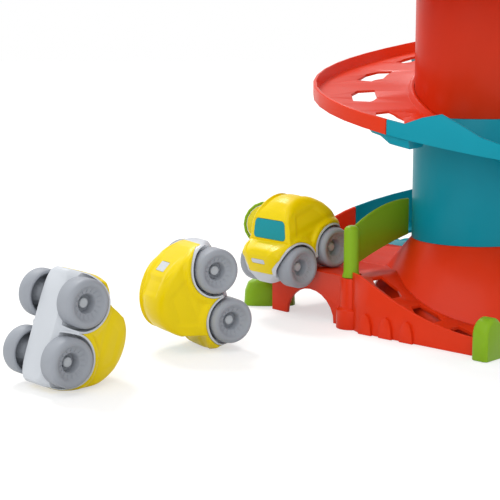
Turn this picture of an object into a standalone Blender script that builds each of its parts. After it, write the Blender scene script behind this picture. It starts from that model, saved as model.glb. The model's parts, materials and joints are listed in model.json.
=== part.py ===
"""Toy garage: a spiral car ramp around a round column, with three roll-along cars.

Metres, +Z up. The origin is on the floor, on the column's axis. The viewer stands at -Y.
Angles run anticlockwise from +X, and the ramp goes down as its angle grows.
"""

import math

import bmesh
import bpy
from mathutils import Matrix, Vector

# Fits
GAP = 0.0003
PIN_CLEARANCE = 0.0003

# Column and its flared foot
COLUMN_R = 0.060
COLUMN_WALL = 0.0025
COLUMN_STEPS = 30
HUB_TOP_Z = 0.080
HUB_FOOT_R = 0.108
HUB_WALL = 0.003
HUB_CURVE = 1.45
HUB_CURVE_STEPS = 5
BOSS_R = 0.010
BOSS_H = 0.030
RIB_COUNT = 3
RIB_H = 0.020
RIB_T = 0.003
SPIGOT_H = 0.012
COLUMN_JOINT_Z = 0.200
COLUMN_TOP_Z = 0.352
CAP_H = 0.026
CAP_CURVE_STEPS = 4

# Spiral ramp
RAMP_OUT_R = 0.158
RAMP_DROP_PER_DEG = 0.00051
RAMP_DATUM_DEG = 180.0
RAMP_DATUM_Z = 0.220
RAMP_FLOOR_T = 0.003
RAMP_WALL_T = 0.003
RAMP_RIM_H = 0.0105
RAMP_KERB_H = 0.005
RAMP_SKIRT_H = 0.007
RAMP_CREST_H = 0.0145
RAMP_CREST_WAVE = 0.0012
RAMP_LAST_WALL_H = 0.035
RAMP_STEP_DEG = 9.4
SEGMENT_DEG = 131.0
SEGMENT_FIRST_DEG = -31.0
WINDOW_LENGTH = 0.032
WINDOW_WIDTH = 0.024
WINDOWS_PER_SEGMENT = 4
CLIP_LENGTH = 0.042
CLIP_H = 0.008
CLIP_WIDTH = 0.034
CLIP_INSET = 0.003
CLIP_GAP = 0.0006

# Start platform
TOP_DECK_DEG = 150.0
TOP_RAIL_H = 0.020

# Landing that a car tips off, on the left
TRACK_HEADING_DEG = 221.0
LANDING_Z = 0.049
LANDING_FLAT_FROM = 0.42
LANDING_EASE = 1.3
LANDING_START_STEPS = 4
LANDING_STEPS = 5
LANDING_END_WALL_H = 0.010
LANDING_BULGE = 0.004
POST_X = -0.1225
POST_Y = -0.046
EDGE_LENGTH = 0.126
END_PLATE_LENGTH = 0.112
ARCH_WIDTH = 0.067
ARCH_TOP_Z = 0.029
ARCH_FROM_POST = 0.0565
ARCH_STEPS = 12

# Post socket and the gate that swings on it
SOCKET_R = 0.0100
SOCKET_FOOT_R = 0.0140
SOCKET_FOOT_H = 0.020
SOCKET_DROP = 0.0004
SOCKET_STEPS = 20
PIN_R = 0.0040
PIN_LENGTH = 0.012
POST_R = 0.0073
POST_TOP_Z = 0.099
GATE_HEADING_DEG = 46.6
GATE_TIP_FROM_COLUMN = 0.004577822
GATE_T = 0.003
GATE_BULGE = 0.004
GATE_LOW_Z = 0.0585
GATE_LOW_RISE = 0.0225
GATE_HIGH_Z = 0.096
GATE_HIGH_RISE = 0.021
GATE_STEPS = 9

# Front chute
CHUTE_HEADING_DEG = -43.7
CHUTE_WALL_FROM_POST = 0.0136
CHUTE_LENGTH = 0.156
CHUTE_DEPTH = 0.0865
CHUTE_BACK = 0.009
CHUTE_LEAD_IN = 0.022
CHUTE_WALL_HIGH_Z = 0.0555
CHUTE_WALL_LOW_Z = 0.0165
CHUTE_CURVE = 1.9
CHUTE_LIP = 0.004
CHUTE_STEPS = 11
CHUTE_WINDOW_LENGTH = 0.030
CHUTE_WINDOW_WIDTH = 0.021
CHUTE_WINDOW_FROM_WALL = 0.020
CHUTE_WINDOWS_AT = (0.038, 0.084, 0.128)
PILASTER_FIRST_AT = 0.030
PILASTER_PITCH = 0.024
PILASTER_COUNT = 3
PILASTER_WIDTH = 0.015
PILASTER_PROUD = 0.003
PILASTER_H = 0.020

# Green feet
END_CAP_H = 0.037
END_CAP_WIDTH = 0.026
END_CAP_T = 0.016
EXIT_FOOT_X = -0.1985
EXIT_FOOT_Y = 0.063
EXIT_FOOT_LENGTH = 0.053
EXIT_FOOT_WIDTH = 0.026
EXIT_FOOT_H = 0.027

# Hoop sign on the exit foot
HOOP_R = 0.0215
HOOP_ROD_R = 0.0017
HOOP_X = -0.203
HOOP_Y = 0.066
HOOP_Z = 0.084
HOOP_TURN_DEG = 12.0
HOOP_STEPS = 18
HOOP_STEM_R = 0.0030
BAND_T = 0.0016
BAND_BORE_R = 0.0135
BAND_BORE_OFFSET = 0.0035

# Cars, measured from a point midway between the axles at axle height
WHEEL_R = 0.020
WHEEL_WIDTH = 0.018
WHEEL_STEPS = 12
WHEEL_RECESS = 0.008
WHEEL_RIM_T = 0.0025
WHEEL_WEB_T = 0.0030
WHEEL_BOSS_R = 0.0065
WHEELBASE = 0.048
GAUGE = 0.056
AXLE_R = 0.0030
AXLE_HEAD_R = 0.0056
AXLE_HEAD_T = 0.0028
AXLE_STEPS = 8
CAR_HALF_LENGTH = 0.048
CAR_HALF_WIDTH = 0.031
CAR_PLAN_STEPS = 11
ROOF_HALF_WIDTH = 0.021
CAR_BELT_Z = 0.016
CAR_ROOF_Z = 0.060
NOSE_Z = 0.0162
SHELL_FOOT_Z = 0.001
BELLY_DEPTH = 0.0115
ARCH_R = 0.0225
ARCH_RIM = 0.0020
ARCH_INNER_Y = 0.0173
ARCH_LINER = 0.0012
ARCH_PROUD = 0.0006
CAR_ARCH_STEPS = 14
SADDLE_HALF_LENGTH = 0.0435
SADDLE_HALF_WIDTH = 0.0180
SADDLE_TOP_Z = 0.0060
SCREEN_WIDTH = 0.046
SCREEN_HEIGHT = 0.019
SCREEN_T = 0.0016
SCREEN_FOOT = (0.0285, 0.0260)
SCREEN_HEAD = (0.0205, 0.0470)
FRONT_PLATE_WIDTH = 0.018
FRONT_PLATE_HEIGHT = 0.0045
FRONT_PLATE_Z = 0.0132
REAR_PLATE_WIDTH = 0.014
REAR_PLATE_HEIGHT = 0.010
PLATE_T = 0.0014
PLATE_PROUD = 0.0005
LAMP_R = 0.0062
LAMP_X = 0.0395
LAMP_Y = 0.0215
LAMP_Z = 0.0165
WINDOW_FRONT_X = 0.0160
WINDOW_REAR_X = -0.0270
WINDOW_LOW_Z = 0.0285
WINDOW_HIGH_Z = 0.0480
WINDOW_SUNK = 0.0009

# Where the cars lie: one tips off the landing, two have tumbled to the floor
CAR_1_FROM_POST = 0.0783
CAR_1_PITCH_DEG = 18.0
CAR_2_X = -0.2580
CAR_2_Y = -0.1190
CAR_2_HEADING_DEG = 210.5
CAR_2_PITCH_DEG = 107.5
CAR_3_X = -0.3745
CAR_3_Y = -0.2570
CAR_3_HEADING_DEG = 222.5
CAR_3_PITCH_DEG = 250.0


def clear_scene():
    for thing in list(bpy.data.objects):
        bpy.data.objects.remove(thing)


def paint(name, colour, roughness):
    """One Principled BSDF material for a moulded plastic."""
    material = bpy.data.materials.new(name)
    material.use_nodes = True
    shader = material.node_tree.nodes["Principled BSDF"]
    shader.inputs["Base Color"].default_value = (*colour, 1.0)
    shader.inputs["Roughness"].default_value = roughness
    shader.inputs["Metallic"].default_value = 0.0
    material.diffuse_color = (*colour, 1.0)
    return material


def add_object(name, mesh, material, smooth_deg=35.0):
    """Links a mesh as one named piece, smooth-shaded across its gentle edges."""
    mesh.materials.append(material)
    mesh.shade_smooth()
    mesh.set_sharp_from_angle(angle=math.radians(smooth_deg))
    piece = bpy.data.objects.new(name, mesh)
    bpy.context.scene.collection.objects.link(piece)
    return piece


def finish_mesh(name, shape):
    """Turns a closed bmesh into a mesh whose faces point out."""
    bmesh.ops.recalc_face_normals(shape, faces=shape.faces)
    mesh = bpy.data.meshes.new(name)
    shape.to_mesh(mesh)
    shape.free()
    return mesh


def loft(name, rings, closed=False):
    """Skins a row of closed outlines that have the same number of points."""
    shape = bmesh.new()
    rows = [[shape.verts.new(point) for point in ring] for ring in rings]
    count = len(rows[0])
    pairs = list(zip(rows, rows[1:]))
    if closed:
        pairs.append((rows[-1], rows[0]))
    for low, high in pairs:
        for i in range(count):
            j = (i + 1) % count
            shape.faces.new((low[i], low[j], high[j], high[i]))
    if not closed:
        shape.faces.new(rows[0])
        shape.faces.new(list(reversed(rows[-1])))
    return finish_mesh(name, shape)


def turned_ring(name, profile, steps):
    """Turns a closed profile of (radius, height) points about Z."""
    rings = []
    for i in range(steps):
        turn = 2 * math.pi * i / steps
        rings.append([(r * math.cos(turn), r * math.sin(turn), z) for r, z in profile])
    return loft(name, rings, closed=True)


def circle(radius, z, steps):
    return [(radius * math.cos(2 * math.pi * i / steps), radius * math.sin(2 * math.pi * i / steps), z)
            for i in range(steps)]


def turned_solid(name, profile, steps):
    """Turns an open profile about Z, from its flat foot to its flat top."""
    return loft(name, [circle(r, z, steps) for r, z in profile])


def prism(name, outline, low, high):
    """Raises a flat (x, y) outline from one height to another."""
    return loft(name, [[(x, y, low) for x, y in outline], [(x, y, high) for x, y in outline]])


def cutter(name, mesh):
    """A helper body that only shapes its neighbours."""
    tool = bpy.data.objects.new(name, mesh)
    bpy.context.scene.collection.objects.link(tool)
    tool.hide_render = True
    tool.display_type = "WIRE"
    return tool


def combine(piece, tool, operation):
    """Adds a live Boolean that joins a helper body or cuts with it."""
    step = piece.modifiers.new(tool.name, "BOOLEAN")
    step.operation = operation
    step.solver = "EXACT"
    step.object = tool


def polar(radius, degrees):
    turn = math.radians(degrees)
    return Vector((radius * math.cos(turn), radius * math.sin(turn), 0))


def heading(degrees):
    return polar(1.0, degrees)


def upright(z):
    return Vector((0, 0, z))


def smooth_step(low, high, value):
    share = min(max((value - low) / (high - low), 0.0), 1.0)
    return share * share * (3 - 2 * share)


def rounded_box_outline(length, width, steps, power=0.55):
    """A plan outline between an oval and a rectangle."""
    outline = []
    for i in range(steps):
        turn = 2 * math.pi * i / steps
        x = math.copysign(abs(math.cos(turn)) ** power, math.cos(turn)) * length / 2
        y = math.copysign(abs(math.sin(turn)) ** power, math.sin(turn)) * width / 2
        outline.append((x, y))
    return outline


def ramp_floor_z(degrees):
    """Height of the ramp's running surface at an angle."""
    return RAMP_DATUM_Z - RAMP_DROP_PER_DEG * (degrees - RAMP_DATUM_DEG)


def hub_r(z):
    """Outer radius of the flared foot at a height."""
    share = min(max(z / HUB_TOP_Z, 0.0), 1.0)
    return COLUMN_R + (HUB_FOOT_R - COLUMN_R) * (1 - share ** HUB_CURVE)


def hub_heights():
    return [HUB_TOP_Z * i / (HUB_CURVE_STEPS - 1) for i in range(HUB_CURVE_STEPS)]


def make_hub(orange):
    """The flared foot of the tower: a thin bell with a spigot, a middle boss and its ribs."""
    spigot_r = COLUMN_R - COLUMN_WALL - GAP
    bore_r = spigot_r - HUB_WALL
    roof = HUB_TOP_Z - HUB_WALL
    outer = [(hub_r(z), z) for z in hub_heights()]
    inner = [(hub_r(z) - HUB_WALL, z) for z in reversed(hub_heights()) if z < roof - HUB_WALL]
    profile = outer + [(spigot_r, HUB_TOP_Z), (spigot_r, HUB_TOP_Z + SPIGOT_H),
                       (bore_r, HUB_TOP_Z + SPIGOT_H), (bore_r, roof - HUB_WALL)] + inner
    piece = add_object("base_hub", turned_ring("base_hub", profile, COLUMN_STEPS), orange)
    boss = cutter("hub_boss", turned_solid("hub_boss", [(BOSS_R, 0.0), (BOSS_R * 0.9, BOSS_H)], 12))
    reach = hub_r(RIB_H) - HUB_WALL / 2
    for i in range(RIB_COUNT):
        along = heading(90 + 360 * i / RIB_COUNT)
        across = Vector((-along.y, along.x, 0)) * (RIB_T / 2)
        corners = [along * 0.001 - across, along * reach - across, along * reach + across, along * 0.001 + across]
        rib = prism(f"hub_rib_{i}", [(p.x, p.y) for p in corners], 0.0, RIB_H)
        combine(piece, cutter(f"hub_rib_{i}", rib), "UNION")
    combine(piece, boss, "UNION")
    return piece


def hub_space():
    """The outside of the foot grown by the gap, for cutting what stands against it."""
    profile = [(hub_r(z) + GAP, z) for z in hub_heights()]
    profile.insert(0, (HUB_FOOT_R + GAP, -0.002))
    profile.append((COLUMN_R + GAP, HUB_TOP_Z + 0.05))
    return cutter("hub_space", turned_solid("hub_space", profile, COLUMN_STEPS))


def make_column(name, low, high, spigot, material):
    """A plain tube. A spigot on its top centres the next tube."""
    inner = COLUMN_R - COLUMN_WALL
    profile = [(COLUMN_R, low), (COLUMN_R, high)]
    if spigot:
        profile += [
            (inner - GAP, high),
            (inner - GAP, high + SPIGOT_H),
            (inner - GAP - COLUMN_WALL, high + SPIGOT_H),
            (inner - GAP - COLUMN_WALL, high - COLUMN_WALL),
            (inner, high - COLUMN_WALL * 2),
        ]
    else:
        profile.append((inner, high))
    profile.append((inner, low))
    return add_object(name, turned_ring(name, profile, COLUMN_STEPS), material)


def make_top_cap(green):
    """A domed lid with a plug inside the upper tube."""
    plug_r = COLUMN_R - COLUMN_WALL - GAP
    foot = COLUMN_TOP_Z + GAP
    profile = [(plug_r, foot - SPIGOT_H), (plug_r, foot), (COLUMN_R, foot)]
    for i in range(1, CAP_CURVE_STEPS):
        turn = math.radians(90 * i / CAP_CURVE_STEPS)
        profile.append((COLUMN_R * math.cos(turn), foot + CAP_H * math.sin(turn)))
    return add_object("top_cap", turned_solid("top_cap", profile, COLUMN_STEPS), green)


def trough(radius_in, z, wall_h):
    """Cross-section of the ramp as (radius, height) points: rim, floor, kerb and skirt."""
    out = RAMP_OUT_R
    wall = RAMP_WALL_T
    return [
        (out, z - RAMP_FLOOR_T),
        (out, z + wall_h - 0.001),
        (out - 0.001, z + wall_h),
        (out - wall, z + wall_h),
        (out - wall - 0.002, z),
        (radius_in + wall + 0.003, z),
        (radius_in + wall, z + RAMP_KERB_H),
        (radius_in, z + RAMP_KERB_H),
        (radius_in, z - RAMP_SKIRT_H),
        (radius_in + wall, z - RAMP_SKIRT_H),
        (radius_in + wall + 0.003, z - RAMP_FLOOR_T),
        (out - CLIP_INSET - CLIP_WIDTH, z - RAMP_FLOOR_T),
    ]


def rim_height(kind, share):
    """Rim height along a segment: plain, with a wavy crest near its head, or rising to the last curve."""
    if kind == "crest":
        crest = smooth_step(0.055, 0.12, share) * (1 - smooth_step(0.15, 0.27, share))
        wave = RAMP_CREST_WAVE * math.sin(share * math.pi * 60) * crest
        return RAMP_RIM_H + RAMP_CREST_H * crest + wave
    if kind == "last":
        return RAMP_RIM_H + (RAMP_LAST_WALL_H - RAMP_RIM_H) * smooth_step(0.30, 0.70, share)
    return RAMP_RIM_H


def make_segment(name, index, kind, material):
    """One snap-in piece of the spiral, with windows through its floor."""
    radius_in = COLUMN_R + GAP
    start = SEGMENT_FIRST_DEG + SEGMENT_DEG * index
    trim = math.degrees(GAP / 2 / radius_in)
    steps = max(round(SEGMENT_DEG / RAMP_STEP_DEG), 2)
    if kind == "crest":
        steps = steps * 3 // 2
    rings = []
    for i in range(steps + 1):
        share = i / steps
        angle = start + trim + (SEGMENT_DEG - 2 * trim) * share
        section = trough(radius_in, ramp_floor_z(angle), rim_height(kind, share))
        rings.append([polar(r, angle) + upright(z) for r, z in section])
    piece = add_object(name, loft(name, rings), material)
    middle_r = (COLUMN_R + RAMP_OUT_R) / 2
    windows = bmesh.new()
    for i in range(WINDOWS_PER_SEGMENT):
        angle = start + SEGMENT_DEG * (i + 0.5) / WINDOWS_PER_SEGMENT
        add_window(windows, polar(middle_r, angle), angle + 90, ramp_floor_z(angle), WINDOW_LENGTH, WINDOW_WIDTH)
    combine(piece, cutter(name + "_windows", finish_mesh(name + "_windows", windows)), "DIFFERENCE")
    return piece


def add_window(shape, centre, heading_deg, z, length, width):
    """Adds a six-sided block that cuts a long window through a floor."""
    half = length / 2
    side = width / 2
    outline = [(-half, -side / 3), (-half / 3, -side), (half, -side), (half, side / 3),
               (half / 3, side), (-half, side)]
    turn = Matrix.Rotation(math.radians(heading_deg), 3, "Z")
    corners = [turn @ Vector((x, y, 0)) + Vector((centre.x, centre.y, 0)) for x, y in outline]
    depth = side
    low = [shape.verts.new(point + upright(z - depth)) for point in corners]
    high = [shape.verts.new(point + upright(z + depth)) for point in corners]
    shape.faces.new(list(reversed(low)))
    shape.faces.new(high)
    for i in range(len(corners)):
        j = (i + 1) % len(corners)
        shape.faces.new((low[i], low[j], high[j], high[i]))


def make_clip(name, index, material):
    """A tongue under the seam of two segments, which locks them together."""
    seam = SEGMENT_FIRST_DEG + SEGMENT_DEG * index
    half_deg = math.degrees(CLIP_LENGTH / 2 / RAMP_OUT_R)
    out = RAMP_OUT_R - CLIP_INSET
    rings = []
    for i in range(5):
        angle = seam - half_deg + half_deg * i / 2
        top = ramp_floor_z(angle) - RAMP_FLOOR_T - CLIP_GAP
        drop = CLIP_H * (0.35 + 0.65 * smooth_step(0.2, 0.5, i / 4))
        section = [(out, top), (out - CLIP_WIDTH, top), (out - CLIP_WIDTH + 0.003, top - drop),
                   (out - 0.003, top - drop)]
        rings.append([polar(r, angle) + upright(z) for r, z in section])
    return add_object(name, loft(name, rings), material)


def make_top_deck(orange):
    """The level start platform at the head of the spiral, closed at its back."""
    radius_in = COLUMN_R + GAP
    z = ramp_floor_z(SEGMENT_FIRST_DEG)
    trim = math.degrees(GAP / 2 / radius_in)
    steps = max(round(TOP_DECK_DEG / RAMP_STEP_DEG), 2)
    end = SEGMENT_FIRST_DEG - TOP_DECK_DEG
    rings = []
    for i in range(steps + 1):
        angle = end + (TOP_DECK_DEG - trim) * i / steps
        rings.append([polar(r, angle) + upright(h) for r, h in trough(radius_in, z, TOP_RAIL_H)])
    piece = add_object("top_deck", loft("top_deck", rings), orange)
    near = radius_in + RAMP_WALL_T / 2
    far = RAMP_OUT_R - RAMP_WALL_T / 2
    corners = [polar(near, end + 0.6), polar(far, end + 0.6), polar(far, end + 2.2), polar(near, end + 2.2)]
    back = prism("deck_back", [(p.x, p.y) for p in corners], z - RAMP_FLOOR_T / 2, z + TOP_RAIL_H - 0.002)
    combine(piece, cutter("deck_back", back), "UNION")
    return piece


def post_place():
    return Vector((POST_X, POST_Y, 0))


def edge_direction():
    """Unit vector along the landing's end edge, from the post to the far corner."""
    return heading(TRACK_HEADING_DEG - 90)


def over_edge():
    """Unit vector over the end edge, the way that a car leaves."""
    return heading(TRACK_HEADING_DEG)


def landing_floor_z(share):
    """Height of the landing along its run: it goes on down from the spiral, then lies level."""
    start = ramp_floor_z(SEGMENT_FIRST_DEG + 4 * SEGMENT_DEG)
    slack = max(1 - share / LANDING_FLAT_FROM, 0.0)
    return LANDING_Z + (start - LANDING_Z) * slack ** LANDING_EASE


def landing_sides(share):
    """Inner and outer plan points of the landing along its run."""
    end = SEGMENT_FIRST_DEG + 4 * SEGMENT_DEG + math.degrees(GAP / COLUMN_R)
    inner_start = polar(COLUMN_R + GAP, end)
    outer_start = polar(RAMP_OUT_R, end)
    inner_end = post_place() + edge_direction() * (SOCKET_R - 0.003)
    outer_end = post_place() + edge_direction() * EDGE_LENGTH
    outer = outer_start.lerp(outer_end, share)
    run = (outer_end - outer_start).normalized()
    outward = Vector((run.y, -run.x, 0))
    if outward.dot(edge_direction()) < 0:
        outward.negate()
    outer += outward * (LANDING_BULGE * 4 * share * (1 - share))
    return inner_start.lerp(inner_end, share), outer


def landing_outline(share):
    """Vertical cross-section of the landing: floor and far wall, which hangs down onto the foot."""
    inner, outer = landing_sides(share)
    across = (outer - inner).normalized()
    width = (outer - inner).length
    z = landing_floor_z(share)
    wall_h = RAMP_LAST_WALL_H + (LANDING_END_WALL_H - RAMP_LAST_WALL_H) * smooth_step(0.05, 0.95, share)
    wall = RAMP_WALL_T
    points = [
        (0, z - RAMP_FLOOR_T),
        (width - wall, z - RAMP_FLOOR_T),
        (width - wall, EXIT_FOOT_H + GAP * 2),
        (width, EXIT_FOOT_H + GAP * 2),
        (width, z + wall_h - 0.001),
        (width - 0.001, z + wall_h),
        (width - wall, z + wall_h - 0.001),
        (width - wall, z),
        (0, z),
    ]
    return [inner + across * u + upright(h) for u, h in points]


def landing_loft(name, first, last, steps):
    """A stretch of the landing, from one share of its run to another."""
    return loft(name, [landing_outline(first + (last - first) * i / steps) for i in range(steps + 1)])


def make_landing_start(orange, hub):
    """The landing's first stretch, from the spiral down to the level floor."""
    outer = landing_sides(0)[1]
    last = LANDING_FLAT_FROM - GAP / (landing_sides(1)[1] - outer).length
    mesh = landing_loft("landing_start", 0, last, LANDING_START_STEPS)
    piece = add_object("landing_start", mesh, orange)
    combine(piece, hub, "DIFFERENCE")
    return piece


def socket_mesh(name, grow):
    """The post's socket, which ends just under the landing's floor, or the space that it needs."""
    top = LANDING_Z - SOCKET_DROP if grow == 0 else POST_TOP_Z
    return turned_solid(name, [(SOCKET_FOOT_R + grow, -grow), (SOCKET_FOOT_R + grow, SOCKET_FOOT_H - 0.002 + grow),
                               (SOCKET_R + grow, SOCKET_FOOT_H + grow), (SOCKET_R + grow, top)], SOCKET_STEPS)


def chute_place(run, inset):
    """Plan point at a distance down the chute from the post and in from its wall's outer face."""
    along = heading(CHUTE_HEADING_DEG)
    inward = heading(CHUTE_HEADING_DEG + 90)
    return post_place() + along * run + inward * (inset - CHUTE_WALL_FROM_POST)


def chute_wall_z(run):
    share = min(max((run - CHUTE_LEAD_IN) / (CHUTE_LENGTH - CHUTE_LEAD_IN), 0.0), 1.0)
    return CHUTE_WALL_LOW_Z + (CHUTE_WALL_HIGH_Z - CHUTE_WALL_LOW_Z) * (1 - share) ** CHUTE_CURVE


def chute_outline(run):
    """Vertical cross-section of the chute: its outer wall, which reaches the ground, and its floor."""
    top = chute_wall_z(run)
    z = top - CHUTE_LIP - CHUTE_LIP * smooth_step(CHUTE_LENGTH * 0.6, CHUTE_LENGTH, run)
    lead = min(max(1 - run / CHUTE_LEAD_IN, 0.0), 1.0)
    edge = CHUTE_WALL_FROM_POST * lead ** 2
    wall = RAMP_WALL_T
    points = [
        (edge, 0),
        (edge, top - 0.001),
        (edge + 0.001, top),
        (edge + wall, top - 0.001),
        (edge + wall + 0.002, z),
        (edge + CHUTE_DEPTH, z),
        (edge + CHUTE_DEPTH, z - RAMP_FLOOR_T),
        (edge + wall, z - RAMP_FLOOR_T),
        (edge + wall, 0),
    ]
    return [chute_place(run, u) + upright(h) for u, h in points]


def arch_outline(width, height, steps, foot):
    """Half an oval standing on a foot line, as (across, height) points."""
    outline = [(width / 2, foot)]
    for i in range(1, steps):
        turn = math.pi * i / steps
        outline.append((width / 2 * math.cos(turn), height * math.sin(turn)))
    outline.append((-width / 2, foot))
    return outline


def make_base_track(orange, hub):
    """Level landing, end wall with its arch and post socket."""
    piece = add_object("base_track", landing_loft("base_track", LANDING_FLAT_FROM, 1, LANDING_STEPS), orange)

    along = edge_direction()
    over = over_edge()
    post = post_place()
    near = post + along * 0.004
    far = post + along * END_PLATE_LENGTH
    corners = [near - over * RAMP_WALL_T, far - over * RAMP_WALL_T, far + over * 0.0004, near + over * 0.0004]
    plate = prism("end_plate", [(p.x, p.y) for p in corners], 0.0, LANDING_Z - 0.0007)
    combine(piece, cutter("end_plate", plate), "UNION")

    socket_body = cutter("socket_body", socket_mesh("socket_body", 0))
    socket_body.location = post
    combine(piece, socket_body, "UNION")
    combine(piece, hub, "DIFFERENCE")

    middle = post + along * ARCH_FROM_POST
    shape = arch_outline(ARCH_WIDTH, ARCH_TOP_Z, ARCH_STEPS, -0.002)
    block = [[middle + along * u + over * depth + upright(h) for u, h in shape] for depth in (-0.012, 0.012)]
    combine(piece, cutter("end_arch", loft("end_arch", block)), "DIFFERENCE")

    combine(piece, cutter("foot_pocket", exit_foot_mesh("foot_pocket", GAP)), "DIFFERENCE")

    bore_r = PIN_R + PIN_CLEARANCE
    bore = [(bore_r, LANDING_Z - PIN_LENGTH - 0.001), (bore_r, LANDING_Z + 0.01)]
    pin_bore = cutter("pin_bore", turned_solid("pin_bore", bore, SOCKET_STEPS))
    pin_bore.location = post
    combine(piece, pin_bore, "DIFFERENCE")
    return piece


def make_base_chute(orange, hub):
    """Front chute with its outer wall and pilasters. It meets the hub, the socket and the landing."""
    span = CHUTE_LENGTH + CHUTE_BACK
    runs = [-CHUTE_BACK + span * i / CHUTE_STEPS for i in range(CHUTE_STEPS + 1)]
    piece = add_object("base_chute", loft("base_chute", [chute_outline(run) for run in runs]), orange)
    for i in range(PILASTER_COUNT):
        run = PILASTER_FIRST_AT + PILASTER_PITCH * i
        shape = arch_outline(PILASTER_WIDTH, PILASTER_H, 6, 0.0)
        block = [[chute_place(run + u, inset) + upright(h) for u, h in shape]
                 for inset in (-PILASTER_PROUD, RAMP_WALL_T / 2)]
        combine(piece, cutter(f"pilaster_{i}", loft(f"pilaster_{i}", block)), "UNION")

    combine(piece, hub, "DIFFERENCE")
    socket_space = cutter("socket_space", socket_mesh("socket_space", GAP))
    socket_space.location = post_place()
    combine(piece, socket_space, "DIFFERENCE")

    start = landing_sides(0)[0]
    end = landing_sides(1)[0]
    along = (end - start).normalized()
    aside = Vector((along.y, -along.x, 0))
    if aside.dot(edge_direction()) > 0:
        aside.negate()
    near = [start - along * 0.05 + aside * GAP, end + along * 0.05 + aside * GAP]
    corners = near + [near[1] - aside * 0.08, near[0] - aside * 0.08]
    landing_space = prism("landing_space", [(p.x, p.y) for p in corners], -0.01, 0.2)
    combine(piece, cutter("landing_space", landing_space), "DIFFERENCE")

    windows = bmesh.new()
    for run in CHUTE_WINDOWS_AT:
        add_window(windows, chute_place(run, CHUTE_WINDOW_FROM_WALL), CHUTE_HEADING_DEG,
                   chute_wall_z(run) - CHUTE_LIP, CHUTE_WINDOW_LENGTH, CHUTE_WINDOW_WIDTH)
    combine(piece, cutter("chute_windows", finish_mesh("chute_windows", windows)), "DIFFERENCE")
    return piece


def gate_length():
    """Length at which the gate's tip stands clear of the column."""
    along = heading(GATE_HEADING_DEG)
    nearest = -post_place().dot(along)
    beside = (post_place() + along * nearest).length
    tip_r = COLUMN_R + GATE_TIP_FROM_COLUMN
    return nearest - math.sqrt(max(tip_r ** 2 - beside ** 2, 0.0))


def make_gate(green):
    """The green post and the curved wall that it carries, moulded as one, on a pin in the socket."""
    base = LANDING_Z + GAP
    profile = [(PIN_R, base - PIN_LENGTH), (PIN_R, base), (POST_R + 0.0015, base), (POST_R, base + 0.005)]
    for i in range(4):
        turn = math.radians(90 * i / 4)
        profile.append((POST_R * math.cos(turn), POST_TOP_Z - 0.005 + 0.005 * math.sin(turn)))
    piece = add_object("diverter_gate", turned_solid("diverter_gate", profile, SOCKET_STEPS), green)
    piece.location = post_place()
    along = heading(GATE_HEADING_DEG)
    side = heading(GATE_HEADING_DEG + 90)
    length = gate_length()
    rings = []
    for i in range(GATE_STEPS + 1):
        share = i / GATE_STEPS
        slope = -4 * GATE_BULGE * (2 * share - 1) / length
        normal = (side - along * slope).normalized() * (GATE_T / 2)
        middle = along * (length * share) + side * (GATE_BULGE * (1 - (2 * share - 1) ** 2))
        low = upright(max(GATE_LOW_Z, base + 0.002) + GATE_LOW_RISE * share)
        high = upright(GATE_HIGH_Z + GATE_HIGH_RISE * math.sin(share * math.pi / 2))
        shoulder = high - upright(0.001)
        rings.append([middle - normal + low, middle + normal + low, middle + normal + shoulder,
                      middle + high, middle - normal + shoulder])
    wall = cutter("gate_wall", loft("gate_wall", rings))
    wall.parent = piece
    combine(piece, wall, "UNION")
    return piece


def make_end_cap(green):
    """A round-topped bumper that closes the end of the chute's wall."""
    half = END_CAP_WIDTH / 2
    outline = [(-half, 0), (half, 0)]
    for i in range(11):
        turn = math.pi * i / 10
        outline.append((half * math.cos(turn), END_CAP_H - half + half * math.sin(turn)))
    depth = END_CAP_T / 2
    rings = []
    for y, scale in ((-depth, 0.86), (-depth + 0.003, 1.0), (depth - 0.003, 1.0), (depth, 0.86)):
        rings.append([(y, x * scale, z * (scale + 1) / 2) for x, z in outline])
    piece = add_object("chute_end_cap", loft("chute_end_cap", rings), green)
    piece.location = chute_place(CHUTE_LENGTH + GAP + depth, 0.0)
    piece.rotation_euler = (0, 0, math.radians(CHUTE_HEADING_DEG))
    return piece


def exit_foot_mesh(name, grow):
    """The rounded block under the landing's far corner, or the pocket that it sits in."""
    outline = rounded_box_outline(EXIT_FOOT_LENGTH, EXIT_FOOT_WIDTH, 20)
    levels = ((0.0, 1.0), (0.55, 0.97), (0.85, 0.86), (1.0, 0.62))
    rings = []
    for share, scale in levels:
        z = share * EXIT_FOOT_H + (grow if share else -grow * 4)
        stretch_x = scale + 2 * grow / EXIT_FOOT_LENGTH
        stretch_y = scale + 2 * grow / EXIT_FOOT_WIDTH
        rings.append([(EXIT_FOOT_X + x * stretch_x, EXIT_FOOT_Y + y * stretch_y, z) for x, y in outline])
    return loft(name, rings)


def make_exit_foot(green):
    return add_object("exit_foot", exit_foot_mesh("exit_foot", 0.0), green)


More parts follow.
